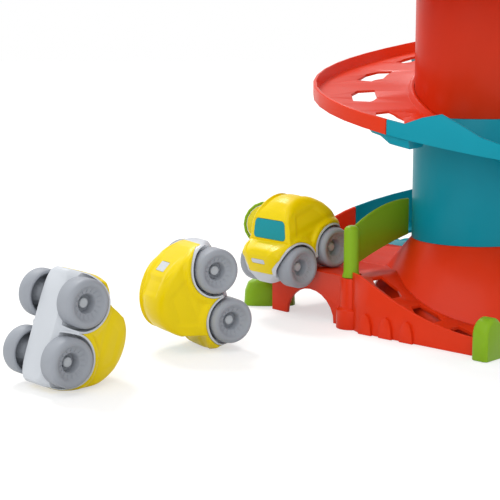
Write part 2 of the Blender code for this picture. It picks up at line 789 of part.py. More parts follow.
def make_hoop(green, yellow):
    """An upright round sign: a rod bent to a hoop on a stem, with a thin crescent inside."""
    place = Vector((HOOP_X, HOOP_Y, HOOP_Z))
    turn = (0, 0, math.radians(HOOP_TURN_DEG))
    rings = []
    for i in range(HOOP_STEPS):
        outward = Vector((math.cos(2 * math.pi * i / HOOP_STEPS), 0, math.sin(2 * math.pi * i / HOOP_STEPS)))
        ring = []
        for k in range(6):
            roll = 2 * math.pi * k / 6
            ring.append(outward * (HOOP_R + HOOP_ROD_R * math.cos(roll))
                        + Vector((0, HOOP_ROD_R * math.sin(roll), 0)))
        rings.append(ring)
    hoop = add_object("sign_hoop", loft("sign_hoop", rings, closed=True), green)
    hoop.location = place
    hoop.rotation_euler = turn
    foot = EXIT_FOOT_H + GAP - HOOP_Z
    stem = [(HOOP_STEM_R + 0.002, foot), (HOOP_STEM_R, foot + 0.005), (HOOP_STEM_R * 0.8, -HOOP_R)]
    stem_body = cutter("sign_stem", turned_solid("sign_stem", stem, 16))
    stem_body.parent = hoop
    combine(hoop, stem_body, "UNION")
    rim_r = HOOP_R - HOOP_ROD_R - GAP
    half = BAND_T / 2
    rings = []
    for i in range(HOOP_STEPS):
        x = math.cos(2 * math.pi * i / HOOP_STEPS)
        z = math.sin(2 * math.pi * i / HOOP_STEPS)
        inner_x = BAND_BORE_R * x + BAND_BORE_OFFSET
        inner_z = BAND_BORE_R * z
        rings.append([(rim_r * x, -half, rim_r * z), (rim_r * x, half, rim_r * z),
                      (inner_x, half, inner_z), (inner_x, -half, inner_z)])
    band = add_object("sign_band", loft("sign_band", rings, closed=True), yellow)
    band.location = place
    band.rotation_euler = turn
    return hoop, band


def crown_line():
    """Stations of the car's crown, nose to tail, as (x, height): bonnet, windscreen, roof and tail."""
    nose = CAR_HALF_LENGTH
    roof = CAR_ROOF_Z
    return [(nose, NOSE_Z), (nose - 0.002, NOSE_Z + 0.0035), (nose - 0.006, NOSE_Z + 0.0060),
            (nose - 0.013, NOSE_Z + 0.0078), SCREEN_FOOT, SCREEN_HEAD, (0.0145, roof - 0.0065),
            (0.0060, roof - 0.0015), (-0.0050, roof), (-0.0160, roof - 0.0030), (-0.0260, roof - 0.0100),
            (-0.0345, roof - 0.0200), (-0.0410, roof - 0.0320), (0.002 - nose, roof - 0.0440),
            (-nose, roof - 0.0500)]


def plan_share(x):
    """How much of its full width the car has at a station: it narrows to rounded ends."""
    return max(1 - (abs(x) / (CAR_HALF_LENGTH + 0.0012)) ** 6, 0.0) ** 0.35


def side_half_width(z):
    """Half the car's width at a height: upright to the belt, then leaning in to the roof."""
    share = min(max((z - CAR_BELT_Z) / (CAR_ROOF_Z - CAR_BELT_Z), 0.0), 1.0)
    return CAR_HALF_WIDTH - (CAR_HALF_WIDTH - ROOF_HALF_WIDTH) * share ** 1.6


def shell_section(x, top):
    """Half cross-section of the car's shell at a station, foot to crown, mirrored to a closed ring."""
    plan = plan_share(x)
    foot = SHELL_FOOT_Z
    shoulder = top - 0.0045
    half = [(side_half_width(foot) * plan * 0.94, foot)]
    for i in range(4):
        z = foot + 0.0025 + (shoulder - foot - 0.0025) * i / 3
        half.append((side_half_width(z) * plan, z))
    brow = side_half_width(shoulder) * plan
    half.append((brow - 0.0016, top - 0.0016))
    half.append((brow - 0.0046, top - 0.0003))
    left = [(x, y, z) for y, z in half]
    right = [(x, -y, z) for y, z in reversed(half)]
    return left + [(x, 0.0, top)] + right


def axle_stations():
    return (("front", WHEELBASE / 2), ("rear", -WHEELBASE / 2))


def drum(shape, x, radius, low, high, steps):
    """Adds a round bar along Y through the axle line at a station."""
    near = []
    away = []
    for i in range(steps):
        turn = 2 * math.pi * (i + 0.5) / steps
        near.append(shape.verts.new((x + radius * math.cos(turn), low, radius * math.sin(turn))))
        away.append(shape.verts.new((x + radius * math.cos(turn), high, radius * math.sin(turn))))
    shape.faces.new(near)
    shape.faces.new(list(reversed(away)))
    for i in range(steps):
        j = (i + 1) % steps
        shape.faces.new((near[j], near[i], away[i], away[j]))


def wheel_drums(name, x, radius, inner_y, outer_y, steps):
    """Two drums, one round each wheel of an axle."""
    shape = bmesh.new()
    drum(shape, x, radius, -outer_y, -inner_y, steps)
    drum(shape, x, radius, inner_y, outer_y, steps)
    return finish_mesh(name, shape)


def axle_drums(name, radius, half, steps):
    """Two drums across the car, one round each axle."""
    shape = bmesh.new()
    for end, x in axle_stations():
        drum(shape, x, radius, -half, half, steps)
    return finish_mesh(name, shape)


def block(name, half_length, half_width, low, high):
    """A plain box about the middle of the car."""
    outline = [(-half_length, -half_width), (half_length, -half_width), (half_length, half_width),
               (-half_length, half_width)]
    return prism(name, outline, low, high)


def car_tool(name, mesh, piece):
    """A helper body that moves with the car piece it shapes."""
    tool = cutter(name, mesh)
    tool.parent = piece
    return tool


def wheel_mesh():
    """A moulded wheel: round shoulders, a deep funnel outside, and a hollow back round its boss."""
    half = WHEEL_WIDTH / 2
    floor = half - WHEEL_RECESS
    bore = AXLE_R + PIN_CLEARANCE
    profile = [
        (bore, floor),
        (AXLE_HEAD_R + 0.0020, floor),
        (WHEEL_R * 0.56, half),
        (WHEEL_R - 0.0035, half),
        (WHEEL_R, half - 0.0038),
        (WHEEL_R, -half),
        (WHEEL_R - WHEEL_RIM_T, -half),
        (WHEEL_BOSS_R + 0.0030, floor - WHEEL_WEB_T),
        (WHEEL_BOSS_R, -half),
        (bore, -half),
    ]
    mesh = turned_ring("wheel", profile, WHEEL_STEPS)
    mesh.transform(Matrix.Rotation(math.radians(-90), 4, "X"))
    return mesh


def axle_mesh():
    """A pin with a flat round head in each wheel's recess."""
    seat = GAUGE / 2 + WHEEL_WIDTH / 2 - WHEEL_RECESS + GAP
    head = seat + AXLE_HEAD_T
    profile = [(AXLE_HEAD_R - 0.0008, -head), (AXLE_HEAD_R, -head + 0.0008), (AXLE_HEAD_R, -seat),
               (AXLE_R, -seat), (AXLE_R, seat), (AXLE_HEAD_R, seat), (AXLE_HEAD_R, head - 0.0008),
               (AXLE_HEAD_R - 0.0008, head)]
    mesh = turned_solid("axle", profile, AXLE_STEPS)
    mesh.transform(Matrix.Rotation(math.radians(-90), 4, "X"))
    return mesh


def plate_frames():
    """Middle, lean, width, height, thickness and taper of each inset plate."""
    foot = Vector(SCREEN_FOOT)
    head = Vector(SCREEN_HEAD)
    lean = math.atan2(foot.x - head.x, head.y - foot.y)
    screen = foot.lerp(head, 0.52)
    slope = [(x, z) for x, z in crown_line() if x < -0.030][:2]
    tail = Vector(slope[0]).lerp(Vector(slope[1]), 0.5)
    tail_lean = math.pi - math.atan2(slope[0][0] - slope[1][0], slope[0][1] - slope[1][1])
    return {
        "windscreen": (screen, lean, SCREEN_WIDTH, SCREEN_HEIGHT, SCREEN_T, 0.88),
        "front_plate": (Vector((CAR_HALF_LENGTH, FRONT_PLATE_Z)), 0.0, FRONT_PLATE_WIDTH, FRONT_PLATE_HEIGHT,
                        PLATE_T, 1.0),
        "rear_plate": (tail, tail_lean, REAR_PLATE_WIDTH, REAR_PLATE_HEIGHT, PLATE_T, 1.0),
    }


def plate_mesh(name, frame, grow):
    """A thin plate with cut corners that leans as the shell does, or the seat that it lies in."""
    middle, lean, width, height, thick, taper = frame
    half = width / 2
    rise = height / 2
    cut = min(half, rise) * 0.3
    outline = [(-half, -rise + cut), (-half + cut, -rise), (half - cut, -rise), (half, -rise + cut),
               (half * taper, rise - cut), (half * taper - cut, rise), (-half * taper + cut, rise),
               (-half * taper, rise - cut)]
    spread_y = (half + grow) / half
    spread_z = (rise + grow) / rise
    back = PLATE_PROUD - thick - grow
    front = 0.012 if grow else PLATE_PROUD
    rings = [[(depth, y * spread_y, z * spread_z) for y, z in outline] for depth in (back, front)]
    mesh = loft(name, rings)
    mesh.transform(Matrix.Translation((middle.x, 0, middle.y)) @ Matrix.Rotation(-lean, 4, "Y"))
    return mesh


def lamps_mesh(name):
    """Two round headlamps that stand out of the bonnet's corners."""
    shape = bmesh.new()
    for y in (-LAMP_Y, LAMP_Y):
        made = bmesh.ops.create_uvsphere(shape, u_segments=8, v_segments=4, radius=LAMP_R)
        bmesh.ops.translate(shape, verts=made["verts"], vec=(LAMP_X, y, LAMP_Z))
    return finish_mesh(name, shape)


def side_windows_mesh(name):
    """Blocks that sink the side windows into both flanks of the cabin."""
    shape = bmesh.new()
    high = WINDOW_HIGH_Z
    outline = [(WINDOW_FRONT_X, WINDOW_LOW_Z), (WINDOW_FRONT_X - 0.004, high - 0.006),
               (WINDOW_FRONT_X - 0.011, high), (WINDOW_REAR_X + 0.009, high),
               (WINDOW_REAR_X + 0.001, high - 0.010), (WINDOW_REAR_X, WINDOW_LOW_Z)]
    low_y = side_half_width(WINDOW_LOW_Z) - WINDOW_SUNK
    high_y = side_half_width(high) - WINDOW_SUNK
    for side in (-1, 1):
        inner = []
        outer = []
        for x, z in outline:
            share = (z - WINDOW_LOW_Z) / (high - WINDOW_LOW_Z)
            depth = low_y + (high_y - low_y) * share
            inner.append(shape.verts.new((x, side * depth, z)))
            outer.append(shape.verts.new((x, side * (CAR_HALF_WIDTH + 0.004), z)))
        shape.faces.new(inner)
        shape.faces.new(list(reversed(outer)))
        for i in range(len(outline)):
            j = (i + 1) % len(outline)
            shape.faces.new((inner[j], inner[i], outer[i], outer[j]))
    return finish_mesh(name, shape)


def make_shell(name, yellow):
    """The yellow shell, cut to clear the wheels' liners, the chassis saddle and the plates."""
    rings = [shell_section(x, top) for x, top in crown_line()]
    piece = add_object(name + "_shell", loft(name + "_shell", rings), yellow)
    combine(piece, car_tool(name + "_lamps", lamps_mesh(name + "_lamps"), piece), "UNION")
    for end, x in axle_stations():
        arches = wheel_drums(f"{name}_{end}_arches", x, ARCH_R + ARCH_RIM + GAP, ARCH_INNER_Y - GAP,
                             CAR_HALF_WIDTH * 2, CAR_ARCH_STEPS)
        combine(piece, car_tool(f"{name}_{end}_arches", arches, piece), "DIFFERENCE")
    seat = block(name + "_seat", SADDLE_HALF_LENGTH + GAP, SADDLE_HALF_WIDTH + GAP, -0.02, SADDLE_TOP_Z + GAP)
    combine(piece, car_tool(name + "_seat", seat, piece), "DIFFERENCE")
    for label, frame in plate_frames().items():
        tool = plate_mesh(f"{name}_{label}_seat", frame, GAP)
        combine(piece, car_tool(f"{name}_{label}_seat", tool, piece), "DIFFERENCE")
    windows = side_windows_mesh(name + "_windows")
    combine(piece, car_tool(name + "_windows", windows, piece), "DIFFERENCE")
    return piece


def car_plan(half_length, grow):
    """The car's plan outline for a half length, grown by a margin at its sides."""
    side = []
    for i in range(CAR_PLAN_STEPS + 1):
        x = -half_length * math.cos(math.pi * i / CAR_PLAN_STEPS)
        side.append((x, CAR_HALF_WIDTH * plan_share(x) + grow))
    return side + [(x, -y) for x, y in reversed(side)]


def make_chassis(name, white):
    """The white underbody: a tray with a saddle for the axles and a liner round each wheel."""
    plan = car_plan(CAR_HALF_LENGTH, -0.001)
    top = SHELL_FOOT_Z - GAP
    rings = [[(x * scale, y * scale, z) for x, y in plan]
             for z, scale in ((-BELLY_DEPTH - 0.0005, 0.90), (-BELLY_DEPTH + 0.003, 1.0), (top, 1.0))]
    piece = add_object(name + "_chassis", loft(name + "_chassis", rings), white)
    saddle = block(name + "_saddle", SADDLE_HALF_LENGTH, SADDLE_HALF_WIDTH, top - 0.002, SADDLE_TOP_Z)
    combine(piece, car_tool(name + "_saddle", saddle, piece), "UNION")
    for end, x in axle_stations():
        liners = wheel_drums(f"{name}_{end}_liners", x, ARCH_R + ARCH_RIM, ARCH_INNER_Y,
                             CAR_HALF_WIDTH + ARCH_RIM * 2, CAR_ARCH_STEPS)
        combine(piece, car_tool(f"{name}_{end}_liners", liners, piece), "UNION")
    limit = prism(name + "_limit", car_plan(CAR_HALF_LENGTH - 0.0005, ARCH_PROUD), -BELLY_DEPTH, CAR_ROOF_Z)
    combine(piece, car_tool(name + "_limit", limit, piece), "INTERSECT")
    for end, x in axle_stations():
        wells = wheel_drums(f"{name}_{end}_wells", x, ARCH_R, ARCH_INNER_Y + ARCH_LINER, CAR_HALF_WIDTH * 2,
                             CAR_ARCH_STEPS)
        combine(piece, car_tool(f"{name}_{end}_wells", wells, piece), "DIFFERENCE")
    bores = axle_drums(name + "_bores", AXLE_R + PIN_CLEARANCE, CAR_HALF_WIDTH * 2, AXLE_STEPS)
    combine(piece, car_tool(name + "_bores", bores, piece), "DIFFERENCE")
    return piece


def pitch_turn(heading_deg, pitch_deg):
    """Rotation of a car that has a heading and has pitched nose-down by an angle."""
    ahead = heading(heading_deg)
    left = heading(heading_deg + 90)
    pitch = math.radians(pitch_deg)
    forward = ahead * math.cos(pitch) - upright(math.sin(pitch))
    crown = ahead * math.sin(pitch) + upright(math.cos(pitch))
    return Matrix((forward, left, crown)).transposed()


def lying_height(turn, pieces):
    """How high a tumbled car's middle is when its lowest point touches the floor."""
    lowest = min((turn @ (piece.location + corner.co)).z for piece in pieces for corner in piece.data.vertices)
    return -lowest


def make_car(name, paints, turn, place):
    """One car under an empty midway between its axles. A place with no height is on the floor."""
    stand = bpy.data.objects.new(name, None)
    bpy.context.scene.collection.objects.link(stand)
    pieces = [make_shell(name, paints["yellow"]), make_chassis(name, paints["white"])]
    colours = {"windscreen": "screen", "front_plate": "white", "rear_plate": "white"}
    for label, frame in plate_frames().items():
        mesh = plate_mesh(f"{name}_{label}", frame, 0.0)
        pieces.append(add_object(f"{name}_{label}", mesh, paints[colours[label]]))
    for end, x in axle_stations():
        axle = add_object(f"{name}_{end}_axle", axle_mesh(), paints["axle"])
        axle.location = (x, 0, 0)
        pieces.append(axle)
        for side, sign in (("left", 1), ("right", -1)):
            mesh = wheel_mesh()
            if sign < 0:
                mesh.transform(Matrix.Rotation(math.pi, 4, "Z"))
            wheel = add_object(f"{name}_{end}_{side}_wheel", mesh, paints["wheel"])
            wheel.location = (x, sign * GAUGE / 2, 0)
            pieces.append(wheel)
    for piece in pieces:
        piece.parent = stand
    if place.z == 0:
        place = place + upright(lying_height(turn, pieces))
    stand.matrix_world = Matrix.Translation(place) @ turn.to_4x4()
    return stand


def build_cars(paints):
    """The first car's rear wheels stand on the landing, its front wheels hang over the edge."""
    pitch = math.radians(CAR_1_PITCH_DEG)
    height = LANDING_Z + GAP + WHEEL_R - WHEELBASE / 2 * math.sin(pitch)
    spot = post_place() + edge_direction() * CAR_1_FROM_POST
    make_car("car_1", paints, pitch_turn(TRACK_HEADING_DEG, CAR_1_PITCH_DEG), spot + upright(height))
    lying_2 = pitch_turn(CAR_2_HEADING_DEG, CAR_2_PITCH_DEG)
    lying_3 = pitch_turn(CAR_3_HEADING_DEG, CAR_3_PITCH_DEG)
    make_car("car_2", paints, lying_2, Vector((CAR_2_X, CAR_2_Y, 0)))
    make_car("car_3", paints, lying_3, Vector((CAR_3_X, CAR_3_Y, 0)))


def build_garage(paints):
    orange = paints["orange"]
    teal = paints["teal"]
    green = paints["green"]
    make_hub(orange)
    make_column("column_lower", HUB_TOP_Z + GAP, COLUMN_JOINT_Z, True, teal)
    make_column("column_upper", COLUMN_JOINT_Z + GAP, COLUMN_TOP_Z, False, orange)
    make_top_cap(green)
    hub = hub_space()
    make_segment("ramp_segment_1", 0, "plain", orange)
    make_segment("ramp_segment_2", 1, "plain", orange)
    make_segment("ramp_segment_3", 2, "crest", teal)
    combine(make_segment("ramp_segment_4", 3, "last", teal), hub, "DIFFERENCE")
    for index in (1, 2, 3):
        make_clip(f"joint_clip_{index}", index, teal)
    make_top_deck(orange)
    make_landing_start(orange, hub)
    make_base_track(orange, hub)
    make_base_chute(orange, hub)
    make_gate(green)
    make_end_cap(green)
    make_exit_foot(green)
    make_hoop(green, paints["yellow"])


def build():
    clear_scene()
    paints = {
        "orange": paint("orange_plastic", (0.66, 0.053, 0.013), 0.32),
        "teal": paint("teal_plastic", (0.0, 0.242, 0.328), 0.35),
        "green": paint("green_plastic", (0.223, 0.456, 0.021), 0.35),
        "yellow": paint("yellow_plastic", (0.831, 0.617, 0.0), 0.38),
        "white": paint("white_plastic", (0.68, 0.72, 0.78), 0.4),
        "wheel": paint("wheel_plastic", (0.305, 0.328, 0.366), 0.5),
        "axle": paint("axle_plastic", (0.515, 0.546, 0.578), 0.4),
        "screen": paint("screen_plastic", (0.0, 0.30, 0.36), 0.3),
    }
    build_garage(paints)
    build_cars(paints)


build()
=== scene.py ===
import json
import math

import bmesh
import bpy
from mathutils import Matrix, Vector


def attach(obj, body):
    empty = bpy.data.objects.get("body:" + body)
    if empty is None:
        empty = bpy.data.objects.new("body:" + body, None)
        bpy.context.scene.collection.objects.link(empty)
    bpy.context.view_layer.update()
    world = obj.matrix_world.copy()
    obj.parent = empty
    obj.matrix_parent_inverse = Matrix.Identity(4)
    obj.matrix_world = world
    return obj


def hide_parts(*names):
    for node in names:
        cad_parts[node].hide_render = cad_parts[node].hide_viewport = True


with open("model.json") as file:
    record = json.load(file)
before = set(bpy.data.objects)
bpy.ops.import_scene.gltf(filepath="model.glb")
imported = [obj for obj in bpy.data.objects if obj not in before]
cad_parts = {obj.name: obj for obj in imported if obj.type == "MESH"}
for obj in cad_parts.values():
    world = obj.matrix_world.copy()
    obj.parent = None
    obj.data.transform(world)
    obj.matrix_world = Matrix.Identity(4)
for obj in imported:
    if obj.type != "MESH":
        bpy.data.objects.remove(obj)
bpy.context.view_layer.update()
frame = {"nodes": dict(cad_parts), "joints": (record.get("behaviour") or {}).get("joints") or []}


# Orange tower foot, landing, chute, upper ramps and start platform.
# Injection-moulded polypropylene with a soft gloss and faint flow marks. The mouldings snap together.

class Wire:
    """A shader socket that can be used in a Python expression."""

    def __init__(self, paint, socket):
        self.paint = paint
        self.socket = socket

    def maths(self, operation, first, second):
        return self.paint.node("ShaderNodeMath", {"operation": operation}, {0: first, 1: second})["Value"]

    def __add__(self, other):
        return self.maths("ADD", self, other)

    def __radd__(self, other):
        return self.maths("ADD", other, self)

    def __sub__(self, other):
        return self.maths("SUBTRACT", self, other)

    def __rsub__(self, other):
        return self.maths("SUBTRACT", other, self)

    def __mul__(self, other):
        return self.maths("MULTIPLY", self, other)

    def __rmul__(self, other):
        return self.maths("MULTIPLY", other, self)


class Outlets:
    """The outputs of a node by name, each as a Wire."""

    def __init__(self, paint, made):
        self.paint = paint
        self.made = made

    def __getitem__(self, key):
        return Wire(self.paint, self.made.outputs[key])


class Paint:
    """The node tree of a material or of the world, under way."""

    def __init__(self, owner):
        owner.use_nodes = True
        self.tree = owner.node_tree
        self.shader = self.tree.nodes.get("Principled BSDF")

    def feed(self, socket, value):
        if isinstance(value, Wire):
            self.tree.links.new(value.socket, socket)
        else:
            socket.default_value = value

    def node(self, kind, settings, sockets):
        made = self.tree.nodes.new(kind)
        for key, value in settings.items():
            setattr(made, key, value)
        for key, value in sockets.items():
            self.feed(made.inputs[key], value)
        return Outlets(self, made)

    def mixed(self, share, first, second):
        """A colour between two, by the sockets that a colour mix uses."""
        return self.node("ShaderNodeMix", {"data_type": "RGBA"}, {0: share, 6: first, 7: second})[2]

    def surface(self, **sockets):
        for key, value in sockets.items():
            self.feed(self.shader.inputs[key.replace("_", " ")], value)


def moulded(name, colour, gloss, shade=0.88, coat=0.03):
    """A moulded plastic: faint cloudy colour, uneven gloss, and the fine skin of a polished mould."""
    material = bpy.data.materials.new(name)
    paint = Paint(material)
    place = paint.node("ShaderNodeTexCoord", {}, {})["Object"]
    cloud_look = {"Vector": place, "Scale": 26.0, "Detail": 3.0, "Roughness": 0.6}
    cloud = paint.node("ShaderNodeTexNoise", {}, cloud_look)["Fac"]
    pores = paint.node("ShaderNodeTexNoise", {}, {"Vector": place, "Scale": 900.0, "Detail": 2.0})["Fac"]
    stretch = paint.node("ShaderNodeMapping", {}, {"Vector": place, "Scale": (60.0, 420.0, 700.0)})["Vector"]
    scuff = paint.node("ShaderNodeTexNoise", {}, {"Vector": stretch, "Scale": 1.0, "Detail": 4.0})["Fac"]
    darker = [channel * shade for channel in colour]
    tint = paint.mixed(cloud, (*darker, 1.0), (*colour, 1.0))
    cloud_gloss = 0.08
    scuff_gloss = 0.10
    uneven = cloud * cloud_gloss + scuff * scuff_gloss + (gloss - (cloud_gloss + scuff_gloss) / 2)
    pore_depth = 0.00004
    relief = paint.node("ShaderNodeBump", {}, {"Strength": 0.35, "Distance": pore_depth, "Height": pores})
    paint.surface(Base_Color=tint, Roughness=uneven, Normal=relief["Normal"])
    paint.surface(Coat_Weight=coat, Coat_Roughness=0.12, Specular_IOR_Level=0.16)
    return material


def dress(names, material, edge=0.0005):
    """Gives CAD nodes a finish, smooth curves and small rounded edges."""
    same_point = 0.00002
    same_plane_deg = 0.6
    real_edge_deg = 32
    for name in names:
        piece = frame["nodes"][name]
        piece.data.materials.clear()
        piece.data.materials.append(material)
        piece.data.polygons.foreach_set("use_smooth", [True] * len(piece.data.polygons))
        weld = piece.modifiers.new("weld", "WELD")
        weld.merge_threshold = same_point
        flat = piece.modifiers.new("flat", "DECIMATE")
        flat.decimate_type = "DISSOLVE"
        flat.angle_limit = math.radians(same_plane_deg)
        soft = piece.modifiers.new("soft", "BEVEL")
        soft.width = edge
        soft.segments = 2
        soft.limit_method = "ANGLE"
        soft.angle_limit = math.radians(real_edge_deg)
        soft.harden_normals = True


orange = moulded("orange_plastic", (0.730, 0.036, 0.005), 0.34)
dress(["base_hub", "landing_start", "base_track", "base_chute"], orange)
dress(["column_upper", "ramp_segment_1", "ramp_segment_2", "top_deck"], orange)


# Teal lower tube, lower ramps and the tongues that lock their seams.
# The same plastic in another colour. Each tongue is a separate moulding pushed in from below.

teal = moulded("teal_plastic", (0.0, 0.290, 0.385), 0.36)
dress(["column_lower", "ramp_segment_3", "ramp_segment_4"], teal)
dress(["joint_clip_1", "joint_clip_2", "joint_clip_3"], teal)


# Green gate, feet, lid and sign hoop.
# Solid mouldings. The gate's post turns on a pin in the orange socket.

green = moulded("green_plastic", (0.235, 0.430, 0.012), 0.36)
dress(["diverter_gate", "exit_foot", "chute_end_cap", "top_cap", "sign_hoop"], green)


# Yellow crescent in the sign's hoop.
# A thin flat moulding clipped into the rod.

sign_yellow = moulded("sign_yellow_plastic", (0.900, 0.830, 0.060), 0.40)
dress(["sign_band"], sign_yellow, edge=0.0002)


# Car shells, one yellow moulding each.
# Injection-moulded polypropylene with a soft gloss. The wheel arches, side windows, rear window, lamps and
# bonnet panel are moulded in, and the shell is pressed down onto the white underbody.

cars = ("car_1", "car_2", "car_3")
wheelbase = 0.048
gauge = 0.056
fit_gap = 0.0003
car_nose = 0.048
car_side = 0.031
car_sill_z = 0.001
car_belt_z = 0.016
roof_z = 0.060
roof_side = 0.0202
arch_r = 0.0225
arch_rim = 0.0016
arch_inner_y = 0.0173
past_side = 0.060
axle_bore = 0.0033
saddle_half_length = 0.0435
saddle_half_width = 0.0180
saddle_top_z = 0.0060
saddle_cut_z = -0.020
screen_foot = Vector((0.0285, 0.0260))
screen_head = Vector((0.0205, 0.0470))


def car_matrix(car):
    """Where a car lies, from its axles: +X ahead, +Y to its left, +Z up, from midway between the axles."""
    spins = {joint["name"]: joint for joint in frame["joints"]}
    front = Vector(spins[car + "_front_spin"]["pos_m"])
    rear = Vector(spins[car + "_rear_spin"]["pos_m"])
    left = Vector(spins[car + "_front_spin"]["axis"]).normalized()
    ahead = (front - rear).normalized()
    turn = Matrix((ahead, left, ahead.cross(left))).transposed()
    return Matrix.Translation((front + rear) / 2) @ turn.to_4x4()


def seat_on_car(name, mesh, material, car, body, node, offset=Matrix()):
    """Sets a moulding on a car in place of its plain node."""
    piece = bpy.data.objects.new(name, mesh)
    bpy.context.scene.collection.objects.link(piece)
    if not mesh.materials:
        mesh.materials.append(material)
    piece.matrix_world = car_matrix(car) @ offset
    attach(piece, body)
    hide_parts(node)


def skin(rings, closed=False):
    """Skins a row of closed outlines that have the same number of points."""
    shape = bmesh.new()
    rows = [[shape.verts.new(point) for point in ring] for ring in rings]
    count = len(rows[0])
    pairs = list(zip(rows, rows[1:]))
    if closed:
        pairs.append((rows[-1], rows[0]))
    for low, high in pairs:
        for i in range(count):
            j = (i + 1) % count
            shape.faces.new((low[i], low[j], high[j], high[i]))
    if not closed:
        shape.faces.new(rows[0])
        shape.faces.new(list(reversed(rows[-1])))
    bmesh.ops.recalc_face_normals(shape, faces=shape.faces)
    mesh = bpy.data.meshes.new("moulding")
    shape.to_mesh(mesh)
    shape.free()
    return mesh


def carved(mesh, steps, sharp_deg=38):
    """Cuts a mesh with helper meshes, or joins them to it, and shades it smooth between its real edges."""
    work = [bpy.data.objects.new("work", mesh)]
    for operation, tool_mesh in steps:
        tool = bpy.data.objects.new("tool", tool_mesh)
        work.append(tool)
        cut = work[0].modifiers.new("cut", "BOOLEAN")
        cut.operation = operation
        cut.solver = "MANIFOLD"
        cut.object = tool
    for thing in work:
        bpy.context.scene.collection.objects.link(thing)
    made = bpy.data.meshes.new_from_object(work[0].evaluated_get(bpy.context.evaluated_depsgraph_get()))
    for thing in work:
        bpy.data.objects.remove(thing)
    made.materials.clear()
    made.shade_smooth()
    made.set_sharp_from_angle(angle=math.radians(sharp_deg))
    return made


def eased(low, high, value):
    """A soft step from 0 to 1 between two values."""
    share = min(max((value - low) / (high - low), 0.0), 1.0)
    return share * share * (3 - 2 * share)


def at_station(stops, value):
    """Reads a row of (place, amount) stops, straight between them."""
    for (place_a, amount_a), (place_b, amount_b) in zip(stops, stops[1:]):
        if place_b <= value <= place_a:
            return amount_a + (amount_b - amount_a) * (place_a - value) / (place_a - place_b)
    return stops[0][1] if value > stops[0][0] else stops[-1][1]


def crown_stops():
    """The car's crown from nose to tail: bonnet, flat windscreen, roof and tail."""
    nose_z = 0.0162
    return [
        (car_nose, nose_z), (car_nose - 0.0015, nose_z + 0.0040), (car_nose - 0.005, nose_z + 0.0072),
        (car_nose - 0.012, nose_z + 0.0090), tuple(screen_foot), tuple(screen_foot.lerp(screen_head, 0.12)),
        tuple(screen_foot.lerp(screen_head, 0.88)), tuple(screen_head), (0.0145, roof_z - 0.0065),
        (0.0060, roof_z - 0.0015), (-0.0050, roof_z), (-0.0160, roof_z - 0.0030), (-0.0260, roof_z - 0.0100),
        (-0.0345, roof_z - 0.0200), (-0.0410, roof_z - 0.0320), (0.002 - car_nose, roof_z - 0.0440),
        (-car_nose, roof_z - 0.0500),
    ]


def crown_line(parts):
    """A smooth curve through the stops, as (x, height) stations."""
    stops = [Vector(stop) for stop in crown_stops()]
    line = []
    for i in range(len(stops) - 1):
        before = stops[max(i - 1, 0)]
        after = stops[min(i + 2, len(stops) - 1)]
        for k in range(parts):
            t = k / parts
            turn_a = (stops[i + 1] - before) / 2
            turn_b = (after - stops[i]) / 2
            line.append(
                stops[i] * (2 * t**3 - 3 * t**2 + 1) + turn_a * (t**3 - 2 * t**2 + t)
                + stops[i + 1] * (3 * t**2 - 2 * t**3) + turn_b * (t**3 - t**2)
            )
    return line + [stops[-1]]


def plan_share(x):
    """How much of its full width the car has at a station: it narrows to rounded ends."""
    return max(1 - (abs(x) / (car_nose + 0.0012)) ** 6, 0.0) ** 0.35


def shell_half_width(x, z):
    """Fenders at full width over the wheels, a slimmer body between them, and a cabin that leans in."""
    lean = min(max((z - car_belt_z) / (roof_z - car_belt_z), 0.0), 1.0)
    cabin = car_side - (car_side - roof_side) * lean ** 1.6
    off_wheel = min(math.hypot(x - wheelbase / 2, z), math.hypot(x + wheelbase / 2, z))
    fender = 1 - eased(arch_r + 0.0035, arch_r + 0.0085, off_wheel)
    waist = 0.0022
    pinch = waist * (1 - fender) * (1 - eased(0.024, 0.036, z))
    return (cabin - pinch) * plan_share(x)


def shell_ring(x, top):
    """The shell's cross-section at a station, from one sill over the crown to the other."""
    roundings = ((0.048, 0.0040), (0.034, 0.0060), (0.028, 0.0038), (0.020, 0.0040), (0.008, 0.0060),
                 (-0.005, 0.0066), (-0.030, 0.0060), (-0.048, 0.0035))
    cambers = ((0.048, 0.0004), (0.036, 0.0010), (0.029, 0.0002), (0.020, 0.0002), (0.010, 0.0022),
               (-0.030, 0.0022), (-0.048, 0.0005))
    side_rows = 32
    shoulder_rows = 8
    crown_rows = 10
    tuck_in = 0.0016
    tuck_height = 0.003
    rounding = at_station(roundings, x)
    camber = at_station(cambers, x)
    shoulder = top - rounding
    half = []
    for i in range(side_rows):
        z = car_sill_z + (shoulder - car_sill_z) * i / side_rows
        tuck = tuck_in * (1 - eased(car_sill_z, car_sill_z + tuck_height, z))
        half.append((shell_half_width(x, z) - tuck, z))
    for i in range(shoulder_rows):
        turn = math.radians(90 * i / shoulder_rows)
        z = shoulder + rounding * math.sin(turn)
        half.append((shell_half_width(x, z) - rounding * (1 - math.cos(turn)), z))
    edge = shell_half_width(x, top) - rounding
    for i in range(crown_rows):
        share = 1 - i / crown_rows
        half.append((edge * share, top - camber * share ** 2))
    left = [(x, y, z) for y, z in half]
    right = [(x, -y, z) for y, z in reversed(half)]
    return left + [(x, 0.0, top)] + right


def inside(value, low, high, soft=0.0006):
    """1 between two limits and 0 outside them, with a soft edge."""
    return eased(low - soft, low + soft, value) * (1 - eased(high - soft, high + soft, value))


def in_side_window(x, z):
    """1 inside the moulded side window, which is one pane with leaning ends."""
    sill_z = 0.0285
    head_z = 0.0465
    front = 0.0168 - 0.42 * (z - sill_z)
    rear = -0.0275 + 0.62 * (z - sill_z)
    return inside(z, sill_z, head_z, 0.0011) * inside(x, rear, front, 0.0013)


